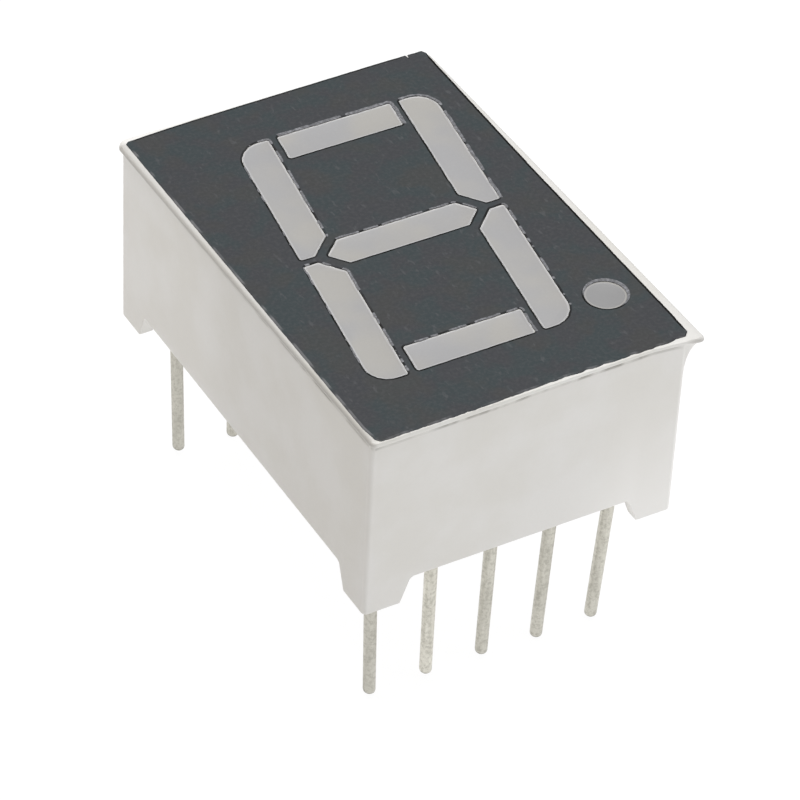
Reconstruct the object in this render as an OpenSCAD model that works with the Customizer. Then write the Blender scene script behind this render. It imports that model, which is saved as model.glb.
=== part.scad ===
// Single-digit seven segment LED display with a decimal point, for through-hole boards.
//
// Frame: X to the digit's right, Y to the digit's top, Z out of the face.
// Origin: centre of the pin pattern, on the seating plane under the feet.

/* [Body] */
// Width of the housing across its side walls
body_w = 12.85; // [12.5:0.05:18]
// Length of the housing along the digit's height
body_l = 19.05; // [19:0.05:26]
// Height of the housing from the seating plane to its face
body_h = 8.1; // [6.5:0.1:12]
// Thickness of the wall round the back of the housing
wall_t = 0.6; // [0.4:0.05:0.6]
// Radius of the housing's four upright edges
edge_r = 0.2; // [0.1:0.05:0.4]

/* [Lip] */
// Thickness of the thin lip round the face
lip_t = 0.2; // [0.15:0.05:0.5]
// How far the lip stands out from the side walls at the upper corners
lip_side = 0.18; // [0.1:0.01:0.35]
// How far the lip stands out from the upper wall
lip_top = 0.14; // [0.1:0.01:0.3]
// How far the lip stands out from the left wall at its lower end
lip_left = 0.02; // [0.02:0.01:0.15]
// How far the lip stands out from the lower wall at its left end
lip_low = 0.14; // [0.05:0.01:0.2]
// How far the lip stands out from the lower wall where the flare begins
lip_least = 0.03; // [0.02:0.01:0.1]
// Radius of the lip's upper corners
lip_r = 0.4; // [0.2:0.05:0.5]
// How far the lip stands out to the right at its flared lower right corner
flare_out = 0.56; // [0.3:0.01:0.8]
// How far that corner drops below the lower wall
flare_drop = 0.26; // [0.16:0.02:0.4]
// Length of the lower edge over which the lip runs out to that corner
flare_l = 1.4; // [0.8:0.1:2]
// Height of the cove that carries the flared corner
flare_h = 0.9; // [0.4:0.1:1.2]
// Radius of the cove's hollow, in heights of the cove
flare_sweep = 1.1; // [1.1:0.05:1.5]
// Radius at the point of the flared corner
tip_r = 0.15; // [0.05:0.01:0.25]

/* [Feet] */
// Height of the four corner feet below the rim
foot_h = 1.1; // [0.6:0.1:1.4]
// Length of a foot along each wall, at the seating plane
foot_l = 1.5; // [1:0.05:2]
// How far a foot widens before it meets the rim
foot_run = 0.4; // [0.3:0.05:1]
// Radius where a foot runs into the rim
foot_fillet = 0.25; // [0.1:0.05:0.45]

/* [Digit] */
// Height of the digit over its windows
digit_h = 14.1; // [10:0.1:15]
// Width of the digit over its windows, before the slant
digit_w = 8.26; // [7.4:0.02:8.8]
// Width of one bar of the digit
bar_w = 1.35; // [1:0.05:1.6]
// Lean of the digit to the right, in degrees
slant = 8; // [0:0.5:10]
// Gap between the ends of neighbouring bars
bar_gap = 0.4; // [0.3:0.05:0.6]
// Gap between the middle bar's points and the uprights
waist_gap = 0.5; // [0.3:0.05:0.7]
// Angle of the cuts at the waist, from the bar's length, in degrees
waist_angle = 47; // [40:1:52]
// Flat left on an upright's end beside its waist cut
waist_flat = 0.55; // [0.4:0.05:0.7]
// Radius of the digit's four outer corners
digit_r = 0.95; // [0.4:0.05:1.2]
// Radius of the windows' small corners
window_r = 0.08; // [0.04:0.01:0.12]
// Distance of the digit's centre to the right of the body's centre
digit_x = 0.28; // [-0.3:0.01:0.3]
// Distance of the digit's centre above the body's centre
digit_y = 0.2; // [-0.3:0.01:0.3]
// Diameter of the decimal point's window
dot_d = 1.56; // [1.2:0.02:1.8]
// Clear face between the decimal point and the digit's lower right corner
dot_gap = 0.7; // [0.55:0.01:0.75]
// Drop of the decimal point's lower edge below the digit's foot
dot_drop = 0.11; // [0:0.01:0.2]

/* [Light wells] */
// Width of a well's floor across its bar
floor_w = 0.9; // [0.8:0.05:1]
// Length of a well's floor along its bar
floor_l = 2.2; // [1.8:0.1:2.6]
// Diameter of the decimal point's well at its floor
dot_floor_d = 1.3; // [1.2:0.05:1.35]
// Depth of the straight mouth of a well below the face
mouth_h = 0.4; // [0.2:0.1:1]
// Height of the straight step at a well's floor
floor_step = 0.03; // [0.02:0.01:0.1]
// Least wall between a well's floor and the slot over a pin row
rib_t = 0.3; // [0.2:0.05:0.5]
// Clear height over the pin heads in their slots
slot_room = 0.2; // [0.15:0.05:0.5]

/* [Face print] */
// Thickness of the ink on the face
ink_t = 0.03; // [0.02:0.01:0.06]
// Bare plastic between the left wall's face and the ink
ink_left = 0.1; // [0:0.01:0.4]
// How far the ink runs past the right wall's face at the top, out over the lip
ink_right = 0.04; // [0:0.01:0.05]
// How much further it runs out there at the foot of the digit
ink_spread = 0.08; // [0:0.01:0.15]
// How far the ink runs past the upper and lower walls' faces at mid width
ink_ends = 0.03; // [0:0.01:0.04]
// How much further up the inked field lies at its right side than at its left
ink_rise = 0.2; // [0:0.01:0.2]
// Radius of the inked field's corners
ink_r = 0.25; // [0.1:0.05:0.3]
// Bare plastic left round each window
ink_gap = 0.08; // [0.06:0.01:0.12]
// How far the ink is out of register with the wells, to the right and upwards
ink_shift = 0.04; // [0:0.01:0.05]

/* [Board] */
// Thickness of the circuit board
board_t = 1; // [0.6:0.1:1.6]
// Gap between the board's edge and the housing's wall
board_gap = 0.05; // [0.03:0.01:0.08]
// Thickness of the copper foil
foil_t = 0.035; // [0.03:0.005:0.045]
// Thickness of the solder resist over the board
mask_t = 0.06; // [0.05:0.01:0.1]
// How far the solder resist laps over the edge of a pad
mask_lap = 0.03; // [0.02:0.01:0.05]
// Width of a copper trace
trace_w = 0.3; // [0.2:0.05:0.35]
// Width of the ring of copper round a pin hole
ring_w = 0.17; // [0.1:0.01:0.2]
// Gap between a pin and its hole in the board
hole_gap = 0.04; // [0.02:0.01:0.06]

/* [Potting] */
// Thickness of the resin behind the board
potting_t = 1; // [0.6:0.1:1.6]
// Depth of the resin's surface inside the rim
potting_sink = 0.25; // [0.1:0.05:0.6]

/* [Pins] */
// Diameter of a pin over its tin coat
pin_d = 0.5; // [0.4:0.02:0.6]
// Length of a pin below the seating plane
pin_l = 6.1; // [3:0.1:10]
// Spacing of the pins in a row
pitch = 2.54; // [2:0.01:2.54]
// Distance between the two rows of pins
row_gap = 15.24; // [15:0.01:16]
// Thickness of the tin coat, which starts at the seating plane
tin_t = 0.01; // [0.005:0.005:0.02]
// Length of a pin's head above the board's face
head_l = 0.5; // [0.3:0.05:0.6]
// Length of the bevel on a pin's cut ends
bevel = 0.09; // [0.05:0.01:0.15]
// Diameter of the collar that stops a pin against the board
collar_d = 0.8; // [0.7:0.05:0.9]
// Thickness of that collar
collar_t = 0.15; // [0.1:0.05:0.3]
// Height of a solder fillet
solder_h = 0.3; // [0.2:0.05:0.35]
// Thickness of a solder fillet at its edges
solder_edge = 0.02; // [0.01:0.005:0.03]

/* [LEDs] */
// Side of a square LED die
die_w = 0.3; // [0.2:0.05:0.35]
// Height of a die
die_h = 0.2; // [0.15:0.05:0.3]
// Distance from a die's centre to its wire pad
wire_span = 0.7; // [0.6:0.05:0.8]
// Diameter of a bond wire
wire_d = 0.04; // [0.03:0.005:0.05]
// Side of the copper pad under a die
die_pad = 0.5; // [0.45:0.05:0.6]
// Diameter of the copper pad under a bond wire's end
wire_pad = 0.4; // [0.3:0.05:0.5]

/* [Hidden] */
$fn = 48;
pins_per_row = 5;
pin_count = 2 * pins_per_row;
bars = ["a", "b", "c", "d", "e", "f", "g"];
lights = concat(bars, ["dp"]);

// Levels, from the seating plane up
rim_z = foot_h;
resin_z = rim_z + potting_sink;
board_z = resin_z + potting_t;
board_top = board_z + board_t;
foil_top = board_top + foil_t;
floor_z = board_top + mask_t;
slot_h = head_l + slot_room;

// Plan sizes
cavity_w = body_w - 2 * wall_t;
cavity_l = body_l - 2 * wall_t;
wire_r = pin_d / 2 - tin_t;
hole_r = wire_r + hole_gap;
ring_r = hole_r + ring_w;
slot_w = 2 * ring_r;
hw = digit_w / 2;
hh = digit_h / 2;

// Points of the waist: the cuts on the uprights and the middle bar's ends run side by side
cut_u = hw - waist_flat;
tip_u = cut_u - (waist_gap - bar_gap / 2 * cos(waist_angle)) / sin(waist_angle);
cut_rise = (bar_w - waist_flat) * tan(waist_angle);
tip_run = bar_w / 2 / tan(waist_angle);

// Rounding of a polygon's corners: each corner becomes an arc of its own radius
arc_steps = 6;
function unit(v) = v / norm(v);
function near(points, i, step) = points[(i + step + len(points)) % len(points)];
function arc_at(p, to_last, to_next, r) =
    let (half = acos(to_last * to_next) / 2, centre = p + unit(to_last + to_next) * r / sin(half))
    let (start = p + to_last * r / tan(half) - centre, end = p + to_next * r / tan(half) - centre)
    [for (k = [0:arc_steps]) centre + r * unit(start * (arc_steps - k) + end * k)];
function rounded(points, radii) = [
    for (i = [0:len(points) - 1])
        each radii[i] == 0 ? [points[i]] : arc_at(
            points[i],
            unit(near(points, i, -1) - points[i]),
            unit(near(points, i, 1) - points[i]),
            radii[i]
        )
];

// A convex counter-clockwise polygon with every edge moved out by d
function normal(p, q) = let (e = unit(q - p)) [e.y, -e.x];
function grown(points, d) = [
    for (i = [0:len(points) - 1])
        let (n1 = normal(near(points, i, -1), points[i]), n2 = normal(points[i], near(points, i, 1)))
            points[i] + d * (n1 + n2) / (1 + n1 * n2)
];

// Digit coordinates (u across, v up from the digit's centre) to body coordinates
function lean(p) = [digit_x + p.x + p.y * tan(slant), digit_y + p.y];

// Outlines of the seven bars in digit coordinates, counter-clockwise
function level_bar(v) = let (end = hw - bar_w - bar_gap)
    [[-end, v - bar_w / 2], [end, v - bar_w / 2], [end, v + bar_w / 2], [-end, v + bar_w / 2]];
function middle_bar() = [
    [tip_u, 0], [tip_u - tip_run, bar_w / 2], [tip_run - tip_u, bar_w / 2],
    [-tip_u, 0], [tip_run - tip_u, -bar_w / 2], [tip_u - tip_run, -bar_w / 2]
];
function upright(right, top) =
    let (points = [
        [hw, bar_gap / 2], [hw, hh], [hw - bar_w, hh],
        [hw - bar_w, bar_gap / 2 + cut_rise], [cut_u, bar_gap / 2]
    ])
    let (placed = [for (p = points) [right * p.x, top * p.y]])
    right * top > 0 ? placed : [for (i = [4:-1:0]) placed[i]];
function upright_radii(right, top) =
    let (radii = [for (i = [0:4]) i == 1 ? digit_r : window_r])
    right * top > 0 ? radii : [for (i = [4:-1:0]) radii[i]];

function bar_points(name) =
    name == "a" ? level_bar(hh - bar_w / 2) :
    name == "b" ? upright(1, 1) :
    name == "c" ? upright(1, -1) :
    name == "d" ? level_bar(bar_w / 2 - hh) :
    name == "e" ? upright(-1, -1) :
    name == "f" ? upright(-1, 1) : middle_bar();
function bar_radii(name) =
    name == "b" ? upright_radii(1, 1) :
    name == "c" ? upright_radii(1, -1) :
    name == "e" ? upright_radii(-1, -1) :
    name == "f" ? upright_radii(-1, 1) : [for (p = bar_points(name)) window_r];
function window(name, grow) =
    [for (p = rounded(grown(bar_points(name), grow), bar_radii(name))) lean(p)];

dot_xy = lean([hw, dot_d / 2 - dot_drop - hh]) + [dot_gap + dot_d / 2, 0];

// Centre of each well's floor, kept clear of the slots over the pins
level_v = min(hh - bar_w / 2, row_gap / 2 - slot_w / 2 - rib_t - floor_w / 2 - abs(digit_y));
upright_u = hw - bar_w / 2;
upright_v = (hh + bar_gap / 2) / 2;
function light_xy(name) =
    name == "dp" ? dot_xy :
    name == "g" ? lean([0, 0]) :
    name == "a" ? lean([0, level_v]) :
    name == "d" ? lean([0, -level_v]) :
    lean([
        (name == "b" || name == "c" ? 1 : -1) * upright_u,
        (name == "b" || name == "f" ? 1 : -1) * upright_v
    ]);
// Direction from a die to its wire pad
function wire_angle(name) =
    name == "a" ? 180 :
    name == "d" || name == "g" ? 0 :
    name == "b" || name == "f" ? -90 - slant :
    name == "dp" ? 90 : 90 - slant;
function beside(name, d) = light_xy(name) + d * [cos(wire_angle(name)), sin(wire_angle(name))];
function die_xy(name) = beside(name, -wire_span / 2);
function pad_xy(name) = beside(name, wire_span / 2);

// Pins 1 to 5 run left to right along the lower row, 6 to 10 right to left along the upper one
function pin_xy(n) = n <= pins_per_row
    ? [(n - 1 - (pins_per_row - 1) / 2) * pitch, -row_gap / 2]
    : [((pins_per_row - 1) / 2 - (n - 1 - pins_per_row)) * pitch, row_gap / 2];

// A rectangle with true round corners
module round_plate(w, l, r) {
    square([w - 2 * r, l], center = true);
    square([w, l - 2 * r], center = true);
    for (x = [-1, 1], y = [-1, 1])
        translate([x * (w / 2 - r), y * (l / 2 - r)]) circle(r);
}

module at_height(z, h) translate([0, 0, z]) linear_extrude(h) children();

// --- Light wells: straight at the mouth, then narrowing to a floor round the die ---

module well_floor(name) {
    upright_bar = name != "a" && name != "d" && name != "g";
    translate(light_xy(name)) rotate(upright_bar ? 90 - slant : 0)
        square([floor_l, floor_w], center = true);
}

module bar_well(name) hull() {
    at_height(body_h - mouth_h, mouth_h) polygon(window(name, 0));
    at_height(floor_z, floor_step) well_floor(name);
}

module dot_well() translate(dot_xy) {
    translate([0, 0, floor_z])
        cylinder(h = body_h - mouth_h - floor_z, r1 = dot_floor_d / 2, r2 = dot_d / 2);
    translate([0, 0, body_h - mouth_h]) cylinder(h = mouth_h, r = dot_d / 2);
}

// --- Housing ---

// The lip is narrowest along the lower wall and runs out to a flared lower right corner
module lip_outline() {
    x = body_w / 2;
    y = body_l / 2;
    polygon(rounded(
        [
            [-x - lip_left, -y - lip_low], [x - flare_l, -y - lip_least], [x + flare_out, -y - flare_drop],
            [x + lip_side, y + lip_top], [-x - lip_side, y + lip_top]
        ],
        [edge_r, flare_l / 2, tip_r, lip_r, lip_r]
    ));
}

// A cove swells out of the upright edge to carry the flared corner
module flare_cove() intersection() {
    sweep_r = flare_sweep * flare_h;
    translate([body_w / 2 - edge_r, edge_r - body_l / 2, body_h - lip_t - flare_h])
        rotate_extrude() difference() {
            square([edge_r + flare_out, flare_h]);
            translate([edge_r + sweep_r, 0]) circle(sweep_r);
        }
    at_height(body_h - lip_t - flare_h, flare_h) lip_outline();
}

// Clears the wall between two feet: profile of the gap, drawn along x with z upwards
module foot_gap(span) {
    low = span / 2 - foot_l;
    high = low - foot_run;
    polygon(rounded(
        [[-low, -foot_h], [low, -foot_h], [low, 0], [high, foot_h], [-high, foot_h], [-low, 0]],
        [0, 0, 0, foot_fillet, foot_fillet, 0]
    ));
}

// Room over a row of pin heads, in the underside of the block between the wells
module pin_slot() at_height(board_top, mask_t + slot_h) {
    row_l = (pins_per_row - 1) * pitch;
    square([row_l, slot_w], center = true);
    for (x = [-1, 1]) translate([x * row_l / 2, 0]) circle(slot_w / 2);
}

module housing() color("#e6e3dc") difference() {
    union() {
        at_height(0, body_h) round_plate(body_w, body_l, edge_r);
        at_height(body_h - lip_t, lip_t) lip_outline();
        flare_cove();
    }
    at_height(-foot_h, foot_h + floor_z) round_plate(cavity_w, cavity_l, edge_r);
    rotate([90, 0, 0]) linear_extrude(2 * body_l, center = true) foot_gap(body_w);
    rotate([90, 0, 90]) linear_extrude(2 * body_w, center = true) foot_gap(body_l);
    for (side = [-1, 1]) translate([0, side * row_gap / 2]) pin_slot();
    for (name = bars) bar_well(name);
    dot_well();
}

// --- Ink on the face ---

// The inked field is a little out of square with the body, as a pad print lands
module ink_outline() {
    left = ink_left - body_w / 2;
    right = body_w / 2 + ink_right;
    end = body_l / 2 + ink_ends;
    polygon(rounded(
        [
            [left, -end - ink_rise / 2], [right + ink_spread, ink_rise / 2 - end],
            [right, end + ink_rise / 2], [left, end - ink_rise / 2]
        ],
        [ink_r, ink_r, ink_r, ink_r]
    ));
}

module face_print() color("#54565a") at_height(body_h, ink_t) difference() {
    ink_outline();
    translate([ink_shift, ink_shift]) {
        for (name = bars) polygon(window(name, ink_gap));
        translate(dot_xy) circle(dot_d / 2 + ink_gap);
    }
}

// --- Resin in the wells, cast round the die and its wire ---

module pad_openings(name) {
    translate(die_xy(name)) rotate(wire_angle(name)) square(die_pad - 2 * mask_lap, center = true);
    translate(pad_xy(name)) circle(wire_pad / 2 - mask_lap);
}

module resin(name) difference() {
    union() {
        if (name == "dp") dot_well(); else bar_well(name);
        at_height(foil_top, floor_z - foil_top) pad_openings(name);
    }
    led_die(name);
    bond_wire(name);
}

module segment(name) color("#b8b8ba") resin(name);

module decimal_point() color("#b8b8ba") resin("dp");

// --- Board ---

module board_outline() round_plate(cavity_w - 2 * board_gap, cavity_l - 2 * board_gap, edge_r);

module pin_holes(r) for (n = [1:pin_count]) translate(pin_xy(n)) circle(r);

module circuit_board() color("#c9b27c") at_height(board_z, board_t) difference() {
    board_outline();
    pin_holes(hole_r);
}

module trace(points) for (i = [0:len(points) - 2]) {
    run = points[i + 1] - points[i];
    translate(points[i]) rotate(atan2(run.y, run.x)) {
        translate([0, -trace_w / 2]) square([norm(run), trace_w]);
        circle(trace_w / 2);
    }
}

// The nets: each die's pad goes to its own pin, and the wire pads share pins 3 and 8
lane_x = pin_xy(pins_per_row).x;
nets = [
    [die_xy("e"), pin_xy(1)],
    [die_xy("d"), pin_xy(2)],
    [die_xy("c"), pin_xy(4)],
    [die_xy("dp"), pin_xy(5)],
    [die_xy("b"), pin_xy(6)],
    [die_xy("a"), pin_xy(7)],
    [die_xy("f"), pin_xy(9)],
    [die_xy("g"), [-lane_x, die_xy("g").y], pin_xy(10)]
];
common_net = [
    [pin_xy(8), pad_xy("g"), pad_xy("d"), pin_xy(3)],
    [pin_xy(8), pad_xy("a")],
    [pad_xy("f"), pad_xy("b"), [lane_x, pad_xy("b").y], [lane_x, pad_xy("dp").y], pad_xy("dp")],
    [pad_xy("e"), pad_xy("c")]
];

module copper() difference() {
    union() {
        for (net = concat(nets, common_net)) trace(net);
        for (name = lights) {
            translate(die_xy(name)) rotate(wire_angle(name)) square(die_pad, center = true);
            translate(pad_xy(name)) circle(wire_pad / 2);
        }
        pin_holes(ring_r);
    }
    pin_holes(hole_r);
}

module copper_traces() color("#b87a45") at_height(board_top, foil_t) copper();

module solder_mask() color("#efefec") difference() {
    at_height(board_top, mask_t) board_outline();
    at_height(board_top, foil_t) copper();
    at_height(board_top, mask_t) pin_holes(ring_r);
    for (name = lights) at_height(board_top, mask_t) pad_openings(name);
}

// --- LEDs ---

module led_die(name) translate(die_xy(name)) rotate(wire_angle(name))
    color("#7a2f2b") translate([-die_w / 2, -die_w / 2, foil_top]) cube([die_w, die_w, die_h]);

// The wire leaves the top of the die, loops over and drops to its pad
module bond_wire(name) color("#d8b24a") translate(die_xy(name)) rotate(wire_angle(name)) {
    translate([wire_span / 2, 0, foil_top + die_h]) rotate([90, 0, 0])
        rotate_extrude(angle = 180) translate([wire_span / 2, 0]) circle(wire_d / 2);
    translate([wire_span, 0, foil_top]) cylinder(h = die_h, d = wire_d);
}

// --- Pins and solder ---

module pin(n) color("#a9a498") translate(pin_xy(n)) rotate_extrude() polygon([
    [0, -pin_l], [pin_d / 2 - bevel, -pin_l], [pin_d / 2, bevel - pin_l], [pin_d / 2, 0], [wire_r, 0],
    [wire_r, board_z - collar_t], [collar_d / 2, board_z - collar_t], [collar_d / 2, board_z],
    [wire_r, board_z], [wire_r, board_top + head_l - bevel], [wire_r - bevel, board_top + head_l],
    [0, board_top + head_l]
]);

// A fillet with a hollow flank, from the ring of copper up to the pin
module solder(n) color("#c8c8c4") translate([pin_xy(n).x, pin_xy(n).y, foil_top])
    rotate_extrude() difference() {
        translate([wire_r, 0]) square([ring_r - wire_r, solder_h]);
        translate([wire_r + solder_edge + solder_h, solder_h]) circle(solder_h);
    }

// --- Resin behind the board ---

module back_potting() color("#bdbcb8") difference() {
    at_height(resin_z, potting_t) round_plate(cavity_w, cavity_l, edge_r);
    for (n = [1:pin_count]) pin(n);
}

housing();
face_print();
for (name = bars) segment(name);
decimal_point();
solder_mask();
copper_traces();
circuit_board();
back_potting();
for (name = lights) led_die(name);
for (name = lights) bond_wire(name);
for (n = [1:pin_count]) pin(n);
for (n = [1:pin_count]) solder(n);
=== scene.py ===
# %% [markdown]
# # A seven segment display
#
# The object is a single-digit LED display. A white moulded housing holds eight tapered light
# wells, its face carries a field of dark ink, and the wells are cast full of clear grey resin.
# A circuit board closes the back, ten tinned pins pass through it, and more resin seals them in.
#
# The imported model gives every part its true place. This lesson keeps that frame, rebuilds the
# parts whose edges and surfaces need more than flat faces, and gives each one a finish.

# %% Load the frame
import math
from collections import Counter

import bmesh
import bpy
from mathutils import Matrix, Vector, noise
from mathutils.geometry import delaunay_2d_cdt


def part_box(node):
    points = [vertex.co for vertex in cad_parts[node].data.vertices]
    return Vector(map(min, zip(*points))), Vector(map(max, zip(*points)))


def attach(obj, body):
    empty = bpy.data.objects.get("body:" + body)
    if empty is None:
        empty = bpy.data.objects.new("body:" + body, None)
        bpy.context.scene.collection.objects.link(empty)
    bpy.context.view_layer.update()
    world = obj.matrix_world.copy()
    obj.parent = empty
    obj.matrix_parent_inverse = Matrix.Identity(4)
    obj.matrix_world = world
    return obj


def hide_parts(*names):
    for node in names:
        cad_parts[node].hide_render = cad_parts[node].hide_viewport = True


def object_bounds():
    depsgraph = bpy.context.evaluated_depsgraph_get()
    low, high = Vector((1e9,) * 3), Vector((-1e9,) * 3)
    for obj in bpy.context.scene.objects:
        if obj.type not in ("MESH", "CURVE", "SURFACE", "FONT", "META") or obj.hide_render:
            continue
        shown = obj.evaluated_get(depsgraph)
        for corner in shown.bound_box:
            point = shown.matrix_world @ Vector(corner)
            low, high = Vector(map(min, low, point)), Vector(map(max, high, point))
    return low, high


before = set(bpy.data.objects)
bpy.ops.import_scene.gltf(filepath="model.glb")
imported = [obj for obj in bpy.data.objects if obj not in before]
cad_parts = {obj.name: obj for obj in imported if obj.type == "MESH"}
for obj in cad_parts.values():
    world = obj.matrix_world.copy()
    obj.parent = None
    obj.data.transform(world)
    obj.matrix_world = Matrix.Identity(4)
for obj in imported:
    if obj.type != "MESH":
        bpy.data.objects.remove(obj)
cad_box = [list(corner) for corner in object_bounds()]
MM = 0.001
ORIGIN = Vector((0, 0))
print("parts in the frame:", len(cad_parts))


def box_mm(node):
    """Lowest and highest corner of a part, in millimetres."""
    low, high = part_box(node)
    return Vector(low) / MM, Vector(high) / MM


# %% [markdown]
# ## Reading outlines off the frame
#
# A new piece has to meet its neighbours exactly, so its outline is read from the part it stands
# for. A part's mesh is loose triangles: a copy is merged first. The level faces at one height
# are then picked out, and the edges with only one such face are followed round into loops.
# Lengths are in millimetres from here on, and a piece is scaled to metres when it is finished.

# %% Outlines of level faces
MERGE = 0.0005
LEVEL = 0.002


def add_merged(bm, node):
    """Adds a part's mesh in millimetres, with its loose triangles joined."""
    bm.from_mesh(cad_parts[node].data)
    bmesh.ops.scale(bm, vec=(1 / MM,) * 3, verts=bm.verts)
    bmesh.ops.remove_doubles(bm, verts=bm.verts, dist=MERGE)


def level_faces(bm, height, facing=1):
    """The faces that lie level at one height and look up, or down where facing is -1."""
    return [
        face for face in bm.faces
        if face.normal.z * facing > 0.99 and all(abs(v.co.z - height) < LEVEL for v in face.verts)
    ]


def flat_loops(node, height, facing=1):
    """Outlines of a part's level faces at one height, longest first."""
    bm = bmesh.new()
    add_merged(bm, node)
    level = level_faces(bm, height, facing)
    found = set(level)
    step = {}
    for face in level:
        for loop in face.loops:
            if not any(other.face in found for other in loop.edge.link_loops if other is not loop):
                step[loop.vert] = loop.link_loop_next.vert
    loops = []
    while step:
        start, here = step.popitem()
        points = [start.co.xy.copy()]
        while here is not start:
            points.append(here.co.xy.copy())
            here = step.pop(here)
        loops.append(points if facing > 0 else points[::-1])
    bm.free()
    return sorted(loops, key=length_round, reverse=True)


# %% Measures of an outline
def length_round(loop):
    return sum((loop[i] - loop[i - 1]).length for i in range(len(loop)))


def middle(points):
    return sum(points, ORIGIN) / len(points)


def encloses(loop, p):
    """Whether a point lies inside an outline, by counting the edges to its right."""
    inside = False
    for i in range(len(loop)):
        a, b = loop[i - 1], loop[i]
        if (a.y > p.y) != (b.y > p.y) and p.x < a.x + (b.x - a.x) * (p.y - a.y) / (b.y - a.y):
            inside = not inside
    return inside


# %% Moving, cutting and rounding an outline
def outward(loop, i):
    """Mitred normal at a point of a counter-clockwise outline: moving by it moves both edges by 1."""
    back, ahead = loop[i] - loop[i - 1], loop[(i + 1) % len(loop)] - loop[i]
    n1 = Vector((back.y, -back.x)).normalized()
    n2 = Vector((ahead.y, -ahead.x)).normalized()
    return (n1 + n2) / (1 + n1.dot(n2))


def grown(loop, d):
    """An outline moved outwards by d, or inwards where d is negative."""
    return [p + outward(loop, i) * d for i, p in enumerate(loop)]


def stepped(loop, length):
    """The same outline with its long edges cut into equal steps."""
    points = []
    for i, p in enumerate(loop):
        ahead = loop[(i + 1) % len(loop)]
        count = max(1, round((ahead - p).length / length))
        points += [p.lerp(ahead, k / count) for k in range(count)]
    return points


def rounded(points, radii, steps=6):
    """A polygon whose corners become arcs, each with its own radius."""
    path = []
    for i, p in enumerate(points):
        to_last = (points[i - 1] - p).normalized()
        to_next = (points[(i + 1) % len(points)] - p).normalized()
        if not radii[i]:
            path.append(p.copy())
            continue
        half = math.acos(max(-1, min(1, to_last.dot(to_next)))) / 2
        centre = p + (to_last + to_next).normalized() * radii[i] / math.sin(half)
        start = p + to_last * radii[i] / math.tan(half) - centre
        end = p + to_next * radii[i] / math.tan(half) - centre
        path += [centre + start.lerp(end, k / steps).normalized() * radii[i] for k in range(steps + 1)]
    return path


# %% Windows and lip
TOP = box_mm("housing")[1].z
LIGHTS = {name: "segment_" + name for name in "abcdefg"} | {"dp": "decimal_point"}
windows = {name: flat_loops(node, TOP)[0] for name, node in LIGHTS.items()}
lip_edge = flat_loops("housing", TOP)[0]
print("windows:", {name: len(loop) for name, loop in windows.items()}, "lip points:", len(lip_edge))

# %% [markdown]
# ## Building skins from rows
#
# Most new pieces here are skins: rows of vertices that follow an outline, joined by strips of
# quads, with the flat areas between outlines filled by triangles. A rounded edge is only a few
# rows close together. Each vertex also carries a number called edge, above or below zero, which
# a finish can read to treat the rim of a piece differently from its middle.

# %% Skins
CLOSE = 1e-6


class Skin:
    """A surface in millimetres, made of rows of vertices."""

    def __init__(self):
        self.bm = bmesh.new()
        self.edge = self.bm.verts.layers.float.new("edge")

    def row(self, points, z, edge=0.0):
        """A row of vertices; z and edge are one number each or a list with one for each point."""
        heights = z if isinstance(z, list) else [z] * len(points)
        edges = edge if isinstance(edge, list) else [edge] * len(points)
        row = [self.bm.verts.new((p.x, p.y, h)) for p, h in zip(points, heights)]
        for v, amount in zip(row, edges):
            v[self.edge] = amount
        return row

    def rows(self, outline, sizes):
        """Rows at (grow by, height, edge) round one outline, joined in order."""
        made = [self.row(grown(outline, d) if d else outline, z, edge) for d, z, edge in sizes]
        self.strips(made)
        return made

    def strips(self, rows):
        """Joins each row to the next with quads, or with triangles where one row is a point."""
        for low, high in zip(rows, rows[1:]):
            for i in range(max(len(low), len(high))):
                a, b = low[(i - 1) % len(low)], low[i % len(low)]
                c, d = high[i % len(high)], high[(i - 1) % len(high)]
                self.bm.faces.new(tuple(dict.fromkeys((a, b, c, d))))

    def cone(self, wide, narrow):
        """Joins two convex rows with different counts, as a tapered well's wall."""
        outline = [v.co.xy for v in wide]

        def furthest(i):
            side = outward(outline, i)
            return max(range(len(narrow)), key=lambda k: narrow[k].co.xy.dot(side))

        for i in range(len(wide)):
            here, ahead = furthest(i - 1), furthest(i)
            self.bm.faces.new((wide[i - 1], wide[i], narrow[here]))
            while here != ahead:
                after = (here + 1) % len(narrow)
                self.bm.faces.new((wide[i], narrow[after], narrow[here]))
                here = after

    def fill(self, rows, z=None, points=()):
        """Triangles over the area that the first row encloses, with the other rows as holes."""
        verts, edges = [], []
        for row in rows:
            first, count = len(verts), len(row)
            verts += row
            edges += [(first + i, first + (i + 1) % count) for i in range(count)]
        verts += [self.bm.verts.new((p.x, p.y, z(p))) for p in points]
        owner = {v: k for k, row in enumerate(rows) for v in row}
        result = delaunay_2d_cdt([v.co.xy for v in verts], edges, [], 2, CLOSE)
        faces, sources = result[2], result[3]
        for face in faces:
            corners = [verts[sources[i][0]] for i in face]
            hole = owner.get(corners[0])
            if hole and all(owner.get(v) == hole for v in corners):
                if encloses([v.co.xy for v in rows[hole]], middle([v.co.xy for v in corners])):
                    continue
            self.bm.faces.new(corners)

    def mesh(self, name):
        """The skin as a mesh in metres, with its faces turned outwards."""
        bmesh.ops.scale(self.bm, vec=(MM,) * 3, verts=self.bm.verts)
        bmesh.ops.recalc_face_normals(self.bm, faces=self.bm.faces)
        mesh = bpy.data.meshes.new(name)
        self.bm.to_mesh(mesh)
        self.bm.free()
        return mesh

    def finish(self, name, slot, *nodes, crease=35):
        placed(self.mesh(name), name, slot, *nodes, crease=crease)


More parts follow.
